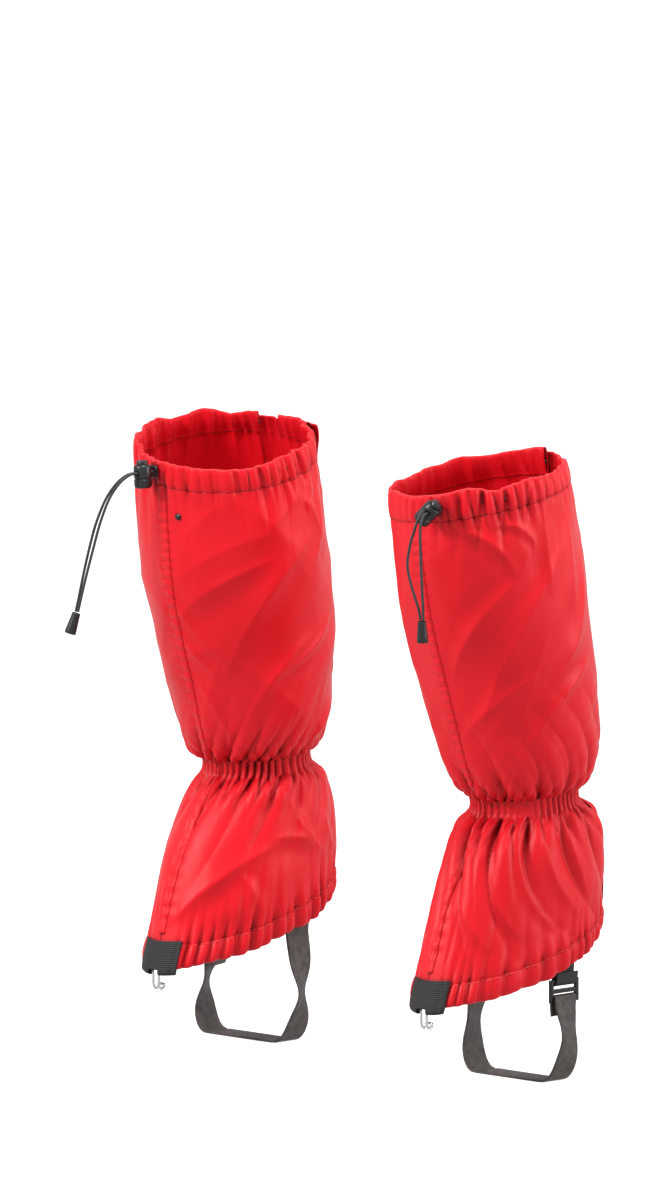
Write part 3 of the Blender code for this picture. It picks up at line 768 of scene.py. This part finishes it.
# ---- The gaiter's pieces ----
def build_cloth(side, prefix, looks):
    red = looks["red_cloth"]
    levels = np.concatenate([
        steps(LOW_STITCH - 1 * MM, 0.128, 1.3 * MM)[:-1], steps(0.128, 0.190, 1.8 * MM)[:-1],
        steps(0.190, 0.262, 1.1 * MM)[:-1], steps(0.262, 0.430, 1.5 * MM)[:-1],
        steps(0.430, TOP_STITCH + 0.5 * MM, 1.4 * MM),
    ])
    outer = cloth(prefix + "outer_panel_cloth", side, steps(0.2, OUTER_EDGE, 1.2), levels, red, CLOTH)
    inner = cloth(prefix + "inner_panel_cloth", side, steps(-0.2, INNER_EDGE, 1.2), levels, red, CLOTH)
    finish_piece(outer, "root", prefix + "outer_panel")
    finish_piece(inner, "root", prefix + "inner_panel")
    angles = steps(INNER_EDGE, OUTER_EDGE, 1.1)
    tunnel = (
        (TOP_STITCH, 0.15 * MM), (0.4610, 0.6 * MM), (0.4650, 1.2 * MM), (0.4700, 1.5 * MM),
        (0.4755, 1.4 * MM), (0.4785, 0.8 * MM), (0.4788, -0.6 * MM), (0.4760, -1.6 * MM),
        (0.4700, -2.0 * MM), (0.4650, -1.6 * MM), (0.4610, -0.9 * MM), (TOP_STITCH, -0.6 * MM),
    )
    top = profile_cloth(prefix + "top_hem_cloth", side, angles, tunnel, red, CLOTH)
    finish_piece(top, "root", prefix + "top_hem")
    fold = (
        (LOW_STITCH, 0.15 * MM), (0.1065, 0.9 * MM), (0.1020, 1.7 * MM), (0.0965, 1.7 * MM),
        (0.0925, 0.9 * MM), (0.0916, -0.3 * MM), (0.0930, -1.3 * MM), (0.0975, -1.7 * MM),
        (0.1020, -1.6 * MM), (0.1065, -1.1 * MM), (LOW_STITCH, -0.7 * MM),
    )
    low = profile_cloth(prefix + "lower_hem_cloth", side, angles, fold, red, CLOTH)
    finish_piece(low, "root", prefix + "lower_hem", prefix + "hem_elastic")
    seam_angles = steps(-SEAM_HALF_ANGLE, SEAM_HALF_ANGLE, 0.4)
    seam_levels = steps(0.116, TOP_STITCH + 0.3 * MM, 1.3 * MM)
    rise = (0.10 + 1.05 * (1 - (np.abs(seam_angles) / SEAM_HALF_ANGLE) ** 4)) * MM
    seam = cloth(prefix + "front_seam_cloth", side, seam_angles, seam_levels, red, CLOTH, rise)
    finish_piece(seam, "root", prefix + "front_seam")
    band = cloth(
        prefix + "ankle_elastic_band", side, angles, steps(BAND_LOW, BAND_HIGH, 1.3 * MM),
        looks["elastic"], 1.0 * MM, -1.2 * MM,
    )
    finish_piece(band, "root", prefix + "ankle_elastic")
    ring, _ = cloth_points(side, steps(INNER_EDGE, OUTER_EDGE, 2), np.array(HEM_CORD_LEVEL), 0.0)
    inside = wire(prefix + "hem_cord_ring", ring, CORD_DIAMETER / 2, looks["shock_cord"], 2)
    finish_piece(inside, "root", prefix + "hem_cord")
    return outer, inner, top, low, seam


def build_stitching(side, prefix, looks):
    thread = looks["red_thread"]
    around = steps(INNER_EDGE, OUTER_EDGE, 1.0)
    rows = {
        "top_stitch": (around, TOP_STITCH + 1.2 * MM, 1.05 * MM),
        "low_stitch": (around, LOW_STITCH - 1.4 * MM, 1.5 * MM),
        "ankle_stitch_a": (around, ANKLE_STITCHES[0], 0.45 * MM),
        "ankle_stitch_b": (around, ANKLE_STITCHES[1], 0.45 * MM),
    }
    for name, (angles, level, off) in rows.items():
        points, normals = cloth_points(side, angles, np.full(len(angles), level), off)
        row = stitches(prefix + name, points, normals, thread)
        finish_piece(row, "root")
    levels = steps(0.122, TOP_STITCH, 1.5 * MM)
    for name, angle in (("seam_stitch_a", -SEAM_STITCH_ANGLE), ("seam_stitch_b", SEAM_STITCH_ANGLE)):
        points, normals = cloth_points(side, np.full(len(levels), angle), levels, 1.35 * MM)
        row = stitches(prefix + name, points, normals, thread)
        finish_piece(row, "root")


def build_closure(side, prefix, looks):
    """The hook-and-loop down the back of the calf, the flap over it and the closed part at the heel."""
    red, tape = looks["red_cloth"], looks["hook_and_loop"]
    strip_angles, strip_levels = steps(174, 194, 1.5), steps(0.2555, 0.4545, 2 * MM)
    loops = cloth(prefix + "loop_strip_tape", side, strip_angles, strip_levels, tape, TAPE, 1.3 * MM)
    finish_piece(loops, "root", prefix + "loop_strip")
    hooks = cloth(prefix + "hook_strip_tape", side, strip_angles, strip_levels, tape, TAPE, 2.5 * MM)
    finish_piece(hooks, prefix + "flap", prefix + "hook_strip")
    angles, levels = steps(156.5, 201.5, 1.2), steps(0.2535, 0.4750, 1.6 * MM)
    angle, level = np.meshgrid(angles, levels)
    sewn = ease(angle, 157.5, 163.5)
    loose = ease(angle, 188, 201) * ease(level, 0.425, 0.475)
    edge = ease(angle, 192, 201)
    off = (0.8 + 3.0 * sewn + 5.5 * loose) * MM + 1.0 * MM * edge * np.cos(level * 2 * math.pi / 0.047)
    points, _ = cloth_points(side, angle, level, off)
    flap = baked(grid_object(prefix + "calf_flap_cloth", points, red, FLAP_CLOTH))
    hinge = at(side, FLAP_SEAM_ANGLE, FLAP_MIDDLE)
    finish_piece(flap, None, prefix + "calf_flap")
    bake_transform(flap)
    heel = cloth(
        prefix + "heel_flap_cloth", side, steps(155, 188.5, 1.2), steps(0.0925, 0.2515, 1.3 * MM),
        red, FLAP_CLOTH, 1.9 * MM,
    )
    finish_piece(heel, "root", prefix + "heel_flap")
    sewn_line = np.full(len(strip_levels), FLAP_STITCH_ANGLE)
    points, normals = cloth_points(side, sewn_line, strip_levels, 4.4 * MM)
    row = stitches(prefix + "flap_stitch", points, normals, looks["red_thread"])
    finish_piece(row, prefix + "flap")
    return flap, heel


def hook_axis(side):
    return at(side, 0, HEM_LEVEL) + Vector((0, 1.4 * MM, -2.0 * MM))


def build_toe(side, prefix, looks):
    axis = np.array(hook_axis(side))

    def window(points):
        """The faces round the hook that are left out."""
        middle = (points[1:, 1:] + points[:-1, :-1]) / 2
        beside = np.abs(middle[..., 0] - axis[0]) < HOOK_WINDOW
        return beside & (middle[..., 2] < axis[2] + WINDOW_TOP)

    fold = (
        (0.1110, 2.3 * MM), (0.1030, 2.6 * MM), (0.0915, 2.5 * MM), (0.0886, 1.5 * MM),
        (0.0876, -0.6 * MM), (0.0886, -2.6 * MM), (0.0915, -3.3 * MM), (0.1040, -3.3 * MM),
    )
    patch = profile_cloth(
        prefix + "hook_patch_webbing", side, steps(-20, 20, 0.7), fold, looks["black_webbing"],
        1.3 * MM, window,
    )
    finish_piece(patch, "root", prefix + "hook_patch")
    left_leg = [(-HOOK_GAP, back, up) for back, up in HOOK_CURL]
    right_leg = [(HOOK_GAP, back, up) for back, up in reversed(HOOK_CURL)]
    bar = ((-8.0, 0, 0), (-5.0, 0, 0), (-3.4, 0, -0.6))
    other_bar = tuple((-across, back, up) for across, back, up in reversed(bar))
    run = fine_run(axis + np.array([*bar, *left_leg, *right_leg, *other_bar]) * MM, 0.5 * MM)
    hook = wire(prefix + "lace_hook_wire", run, HOOK_WIRE_RADIUS, looks["steel_wire"])
    finish_piece(hook, prefix + "hook", prefix + "lace_hook")


def strap_centre(height):
    return STRAP_PIVOT.y + STRAP_SOLE_SHIFT * (1 - np.minimum(height / STRAP_PIVOT.z, 1.0))


def webbing_strip(name, side, run, width, look, thickness, twist=0.0):
    """Webbing along a run of (outward, up) in mm. Its sides are turned by the twist, in degrees."""
    run = fine_run(np.array(run, float) * MM, 1.6 * MM)
    share = np.linspace(-0.5, 0.5, 13)
    middle = strap_centre(run[:, 1])
    turn = np.radians(twist) * np.exp(-(((run[:, 1] - TWIST_LEVEL) / TWIST_SPREAD) ** 2))
    x = side * (LEG_SPACING / 2 + run[:, 0])[:, None] + width * share * np.sin(turn)[:, None]
    y = middle[:, None] + width * share * np.cos(turn)[:, None]
    z = np.broadcast_to(run[:, 1][:, None], x.shape)
    return grid_object(name, np.stack([x, y, z], -1), look, thickness)


def build_strap(side, prefix, looks):
    body = prefix + "strap"
    tab = webbing_strip(
        prefix + "strap_tab_webbing", side, TAB_RUN, STRAP_WIDTH - 1 * MM, looks["black_webbing"],
        1.1 * MM,
    )
    finish_piece(tab, body, prefix + "strap_tab")
    strap = webbing_strip(
        prefix + "instep_strap_webbing", side, STRAP_RUN, STRAP_WIDTH, looks["strap_webbing"],
        1.4 * MM, STRAP_TWIST[side],
    )
    finish_piece(strap, body, prefix + "instep_strap")


def lock_frame(side):
    """The eyelet's centre, the ways out of it and along the hem, and the lock's axes as a matrix.

    The lock's X is across the cords, Y along them and Z towards its button.
    """
    facts = CORDS[side]
    eyelet = at(side, facts["angle"], EYELET_LEVEL, EYELET_STAND_OFF)
    out = outward(side, facts["angle"], EYELET_LEVEL)
    aside = Vector((-out.y * side, out.x * side, 0))
    lean = math.radians(facts["lean"])
    button = Vector((0, 0, 1)) * math.cos(lean) + aside * math.sin(lean)
    across = out.cross(button)
    axes = Matrix((across, out, button)).transposed().to_4x4()
    axes.translation = eyelet + out * LOCK_OUT
    return eyelet, out, aside, axes


def cord_routes(side):
    """The two cords' centre lines, from the eyelet to the bell, and the bell's place and direction."""
    facts = CORDS[side]
    eyelet, out, aside, axes = lock_frame(side)
    up = Vector((0, 0, 1))
    waypoints = [
        eyelet + (out * a + aside * b + up * c) * MM for a, b, c in CORD_START + facts["route"]
    ]
    centre = [Vector(p) for p in fine_run([tuple(p) for p in waypoints], 5.5 * MM)]
    at_lock = axes.to_3x3() @ Vector((1, 0, 0))
    at_end = aside if at_lock.dot(aside) > 0 else -aside
    straight = sum((p - eyelet).dot(out) < STRAIGHT_RUN and p.z > eyelet.z - 1 * MM for p in centre)
    routes = {"cord_a": [], "cord_b": []}
    for i, point in enumerate(centre):
        share = max(0.0, (i - straight + 1) / (len(centre) - straight))
        turn = min(1.0, share * 2.5)
        across = (at_lock * (1 - turn) + at_end * turn).normalized()
        half = (CORD_PITCH * (1 - share) + CORD_PITCH_AT_END * share) / 2
        bow = facts["bow"] * math.sin(math.pi * share) ** 2
        routes["cord_a"].append(tuple(point + across * half + at_end * bow))
        routes["cord_b"].append(tuple(point - across * half))
    a, b, c = facts["bell"]
    return routes, centre[-1], (out * a + aside * b + up * c).normalized()


def facing(point, way):
    """A place at this point with its Z along this way."""
    return Matrix.Translation(point) @ way.to_track_quat("Z", "Y").to_matrix().to_4x4()


def build_cords(side, prefix, looks):
    routes, end, direction = cord_routes(side)
    bell = lathe(
        prefix + "cord_end_bell",
        ((0, 7.0), (2.6, 7.0), (2.7, 8.5), (3.3, 8.5), (3.5, 5.0), (4.2, -3.0), (4.5, -5.5), (4.5, -8.5),
         (3.2, -8.5), (3.0, -7.2), (0, -7.2)),
        facing(end + direction * (BELL_LENGTH / 2 + 1 * MM), -direction), looks["black_plastic"],
    )
    finish_piece(bell, "root", prefix + "cord_end")
    for name, points in routes.items():
        line = fine_run(points, 1.6 * MM)
        cord = wire(prefix + name + "_line", line, CORD_DIAMETER / 2, looks["shock_cord"])
        finish_piece(cord, "root", prefix + name)


def build_lock(side, prefix, looks):
    plastic = looks["black_plastic"]
    eyelet, out, _, axes = lock_frame(side)
    ring = lathe(
        prefix + "eyelet_ring",
        ((3.3, -0.9), (3.3, 0.1), (3.6, 0.6), (4.2, 0.9), (4.8, 0.6), (5.2, 0.0), (5.2, -0.9), (3.3, -0.9)),
        facing(eyelet + out * 1.4 * MM, out), plastic, bevel=0,
    )
    ring.data.polygons.foreach_set("use_smooth", np.ones(len(ring.data.polygons), bool))
    finish_piece(ring, "root", prefix + "eyelet")
    barrel = lathe(
        prefix + "lock_body_barrel",
        ((0, -12), (5.6, -12), (6.6, -11.2), (7.0, -9.5), (7.0, -5.4), (6.5, -5.0), (6.5, -4.0), (7.0, -3.6),
         (7.0, 4.6), (6.6, 5.6), (6.1, 6), (4.9, 6), (4.9, -10.5), (0, -10.5)),
        axes, plastic,
    )
    carve(barrel, [((0, 0, 0), BODY_SLOT)], axes)
    add_bevel(barrel, 0.3 * MM, 2)
    finish_piece(barrel, prefix + "lock", prefix + "lock_body")
    button = lathe(
        prefix + "lock_button_cap",
        ((0, -4), (4.5, -4), (4.5, 7.0), (4.45, 8.6), (4.0, 9.5), (3.0, 9.9), (0, 10)),
        axes, plastic,
    )
    carve(button, [((0, 0, 1.5 * MM), BUTTON_SLOT)], axes)
    add_bevel(button, 0.3 * MM, 2)
    finish_piece(button, prefix + "button", prefix + "lock_button")
    build_spring(prefix, axes, looks["steel_wire"])


def build_spring(prefix, axes, steel):
    """The lock's coil spring, riding on the lock body in the bore between its bottom and the button."""
    turns, low, high, coil, wire_radius = 3, -9.9 * MM, -4.7 * MM, 3.4 * MM, 0.35 * MM
    along, around = np.meshgrid(
        np.linspace(0, 1, 36 * turns + 1), np.linspace(0, 2 * math.pi, 11), indexing="ij"
    )
    thick = wire_radius * np.where((along == 0) | (along == 1), 0.02, 1)
    out = coil + thick * np.cos(around)
    angle = 2 * math.pi * turns * along
    height = low + (high - low) * along + thick * np.sin(around)
    local = np.stack([out * np.cos(angle), out * np.sin(angle), height], axis=-1).reshape(-1, 3)
    points = [tuple(axes @ Vector(point)) for point in local]
    spring = mesh_object(prefix + "lock_spring_coil", points, grid_faces(*along.shape), steel)
    finish_piece(spring, prefix + "lock", prefix + "lock_spring")
    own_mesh(spring)


def build_stud(looks):
    """The snap stud, which only the right gaiter has."""
    out = outward(RIGHT, STUD_ANGLE, STUD_LEVEL)
    place = facing(at(RIGHT, STUD_ANGLE, STUD_LEVEL, 1.5 * MM), out)
    stud = lathe(
        "right_snap_stud_cap",
        ((0, -1.1), (2.6, -1.1), (2.6, -0.5), (2.1, 0.2), (1.5, 1.0), (0.6, 1.3), (0, 1.3)),
        place, looks["black_plastic"], bevel=0.15 * MM,
    )
    finish_piece(stud, "root", "right_snap_stud")


def keep_cad(node, look):
    """A CAD node that stays as it is, with a better material."""
    node.data.materials.clear()
    node.data.materials.append(look)


def gaiter(side, prefix, looks, nodes):
    cloths = build_cloth(side, prefix, looks)
    build_stitching(side, prefix, looks)
    closure = build_closure(side, prefix, looks)
    build_toe(side, prefix, looks)
    build_strap(side, prefix, looks)
    build_cords(side, prefix, looks)
    build_lock(side, prefix, looks)
    keep_cad(nodes[prefix + "strap_buckle"], looks["black_plastic"])
    keep_cad(nodes[prefix + "outer_strap_anchor"], looks["black_webbing"])
    keep_cad(nodes[prefix + "inner_strap_anchor"], looks["black_webbing"])


# ---- Studio ----
CAMERA_AZIMUTH, CAMERA_ELEVATION = math.radians(45), math.radians(8.5)
VIEW_HEIGHT = 0.9375
VIEW_RIGHT, VIEW_UP, CAMERA_DISTANCE = -0.0481, 0.3556, 4.0
WORLD_STRENGTH, FLOOR_GLOW, FLOOR_HALF = 0.68, 0.88, 40
LIGHT_TARGET = 0.30
# Each light's place to the camera's right, up and back, its size in metres and its power in watts
LIGHTS = {
    "key": (-1.8, 1.4, 1.1, (0.5, 0.6), 40),
    "fill": (1.9, 0.8, 0.6, (0.3, 1.2), 18),
    "top": (0.1, 2.2, 0.8, (0.7, 0.7), 34),
}


def view_axes():
    a, e = CAMERA_AZIMUTH, CAMERA_ELEVATION
    right = Vector((math.cos(a), math.sin(a), 0))
    back = Vector((math.sin(a) * math.cos(e), -math.cos(a) * math.cos(e), math.sin(e)))
    return right, back.cross(right), back


def add_camera():
    right, up, back = view_axes()
    camera = bpy.data.objects.new("camera", bpy.data.cameras.new("camera"))
    bpy.context.scene.collection.objects.link(camera)
    camera.data.type = "ORTHO"
    camera.data.ortho_scale = VIEW_HEIGHT
    camera.data.clip_end = 100
    place = Matrix((right, up, back)).transposed().to_4x4()
    place.translation = right * VIEW_RIGHT + up * VIEW_UP + back * CAMERA_DISTANCE
    camera.matrix_world = place
    bpy.context.scene.camera = camera


def area_light(name, right, up, back, size, power):
    """A soft light at this place in the camera's axes, pointing at the middle of the pair."""
    axes = view_axes()
    target = axes[1] * LIGHT_TARGET
    light = bpy.data.lights.new(name, "AREA")
    light.shape = "RECTANGLE"
    light.size, light.size_y = size
    light.energy = power
    obj = bpy.data.objects.new(name, light)
    bpy.context.scene.collection.objects.link(obj)
    place = axes[0] * right + axes[1] * up + axes[2] * back
    turn = (place - target).to_track_quat("Z", "Y").to_matrix().to_4x4()
    obj.matrix_world = Matrix.Translation(place) @ turn


def studio():
    scene = bpy.context.scene
    scene.view_settings.view_transform = "Standard"
    world = bpy.data.worlds.new("studio")
    world.use_nodes = True
    background = world.node_tree.nodes["Background"]
    background.inputs["Color"].default_value = (1, 1, 1, 1)
    background.inputs["Strength"].default_value = WORLD_STRENGTH
    scene.world = world
    for name, light in LIGHTS.items():
        area_light(name, *light)
    add_floor()


def add_floor():
    """A pale floor that the camera sees, but that casts no light on the cloth."""
    floor_look = Look("pale_floor", (0.45, 0.45, 0.45), 0.9)
    floor_look.set("Specular IOR Level", 0.0)
    floor_look.set("Emission Color", (1, 1, 1, 1))
    floor_look.set("Emission Strength", FLOOR_GLOW)
    edges = [(-FLOOR_HALF, -FLOOR_HALF, 0), (FLOOR_HALF, -FLOOR_HALF, 0),
             (FLOOR_HALF, FLOOR_HALF, 0), (-FLOOR_HALF, FLOOR_HALF, 0)]
    floor = mesh_object("floor", edges, [(0, 1, 2, 3)], floor_look.material)
    floor.visible_diffuse = floor.visible_glossy = False
    floor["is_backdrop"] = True


def corners():
    return [[float(value) for value in corner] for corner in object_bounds()]


def main():
    for obj in list(bpy.data.objects):
        bpy.data.objects.remove(obj)
    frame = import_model()
    looks = make_looks()
    studio()
    add_camera()
    gaiter(LEFT, "left_", looks, frame["nodes"])
    gaiter(RIGHT, "right_", looks, frame["nodes"])
    build_stud(looks)
    bpy.context.view_layer.update()


main()
